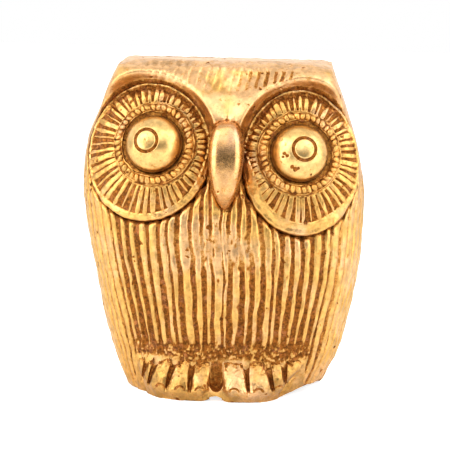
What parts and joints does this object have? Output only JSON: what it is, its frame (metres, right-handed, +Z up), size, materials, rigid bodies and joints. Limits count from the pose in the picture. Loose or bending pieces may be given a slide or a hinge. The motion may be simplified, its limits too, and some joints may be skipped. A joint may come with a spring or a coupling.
{
  "type": "owl figurine",
  "caption": "Cast brass owl figurine: a hollow fluted body open underneath, with oval facial discs, corded eye rings, domed eyes, a drop-shaped beak and toed feet.",
  "frame": {"origin": "on the ground, under the middle of the figurine's bounding box", "axes": "+Z up; the owl faces -Y; +X to the right of someone looking at its face"},
  "size_m": [0.0713, 0.0542, 0.083],
  "materials": {
    "fluted_brass": "cast and chased flutes, worn bright on the ridges, brown patina in the grooves",
    "disc_brass": "chased leaves, worn bright, brown patina between them",
    "ring_brass": "cast cord, brown patina in the low places",
    "polished_brass": "hand polished, with casting pits",
    "coppery_brass": "hand polished, pinker than the body",
    "foot_brass": "worn bright, brown patina between the toes"
  },
  "bodies": {
    "root": {"body_casting": "fluted_brass", "left_facial_disc": "disc_brass", "right_facial_disc": "disc_brass", "left_eye_ring": "ring_brass", "right_eye_ring": "ring_brass", "left_eye_dome": "polished_brass", "right_eye_dome": "polished_brass", "beak": "coppery_brass", "left_foot": "foot_brass", "right_foot": "foot_brass"}
  },
  "joints": []
}
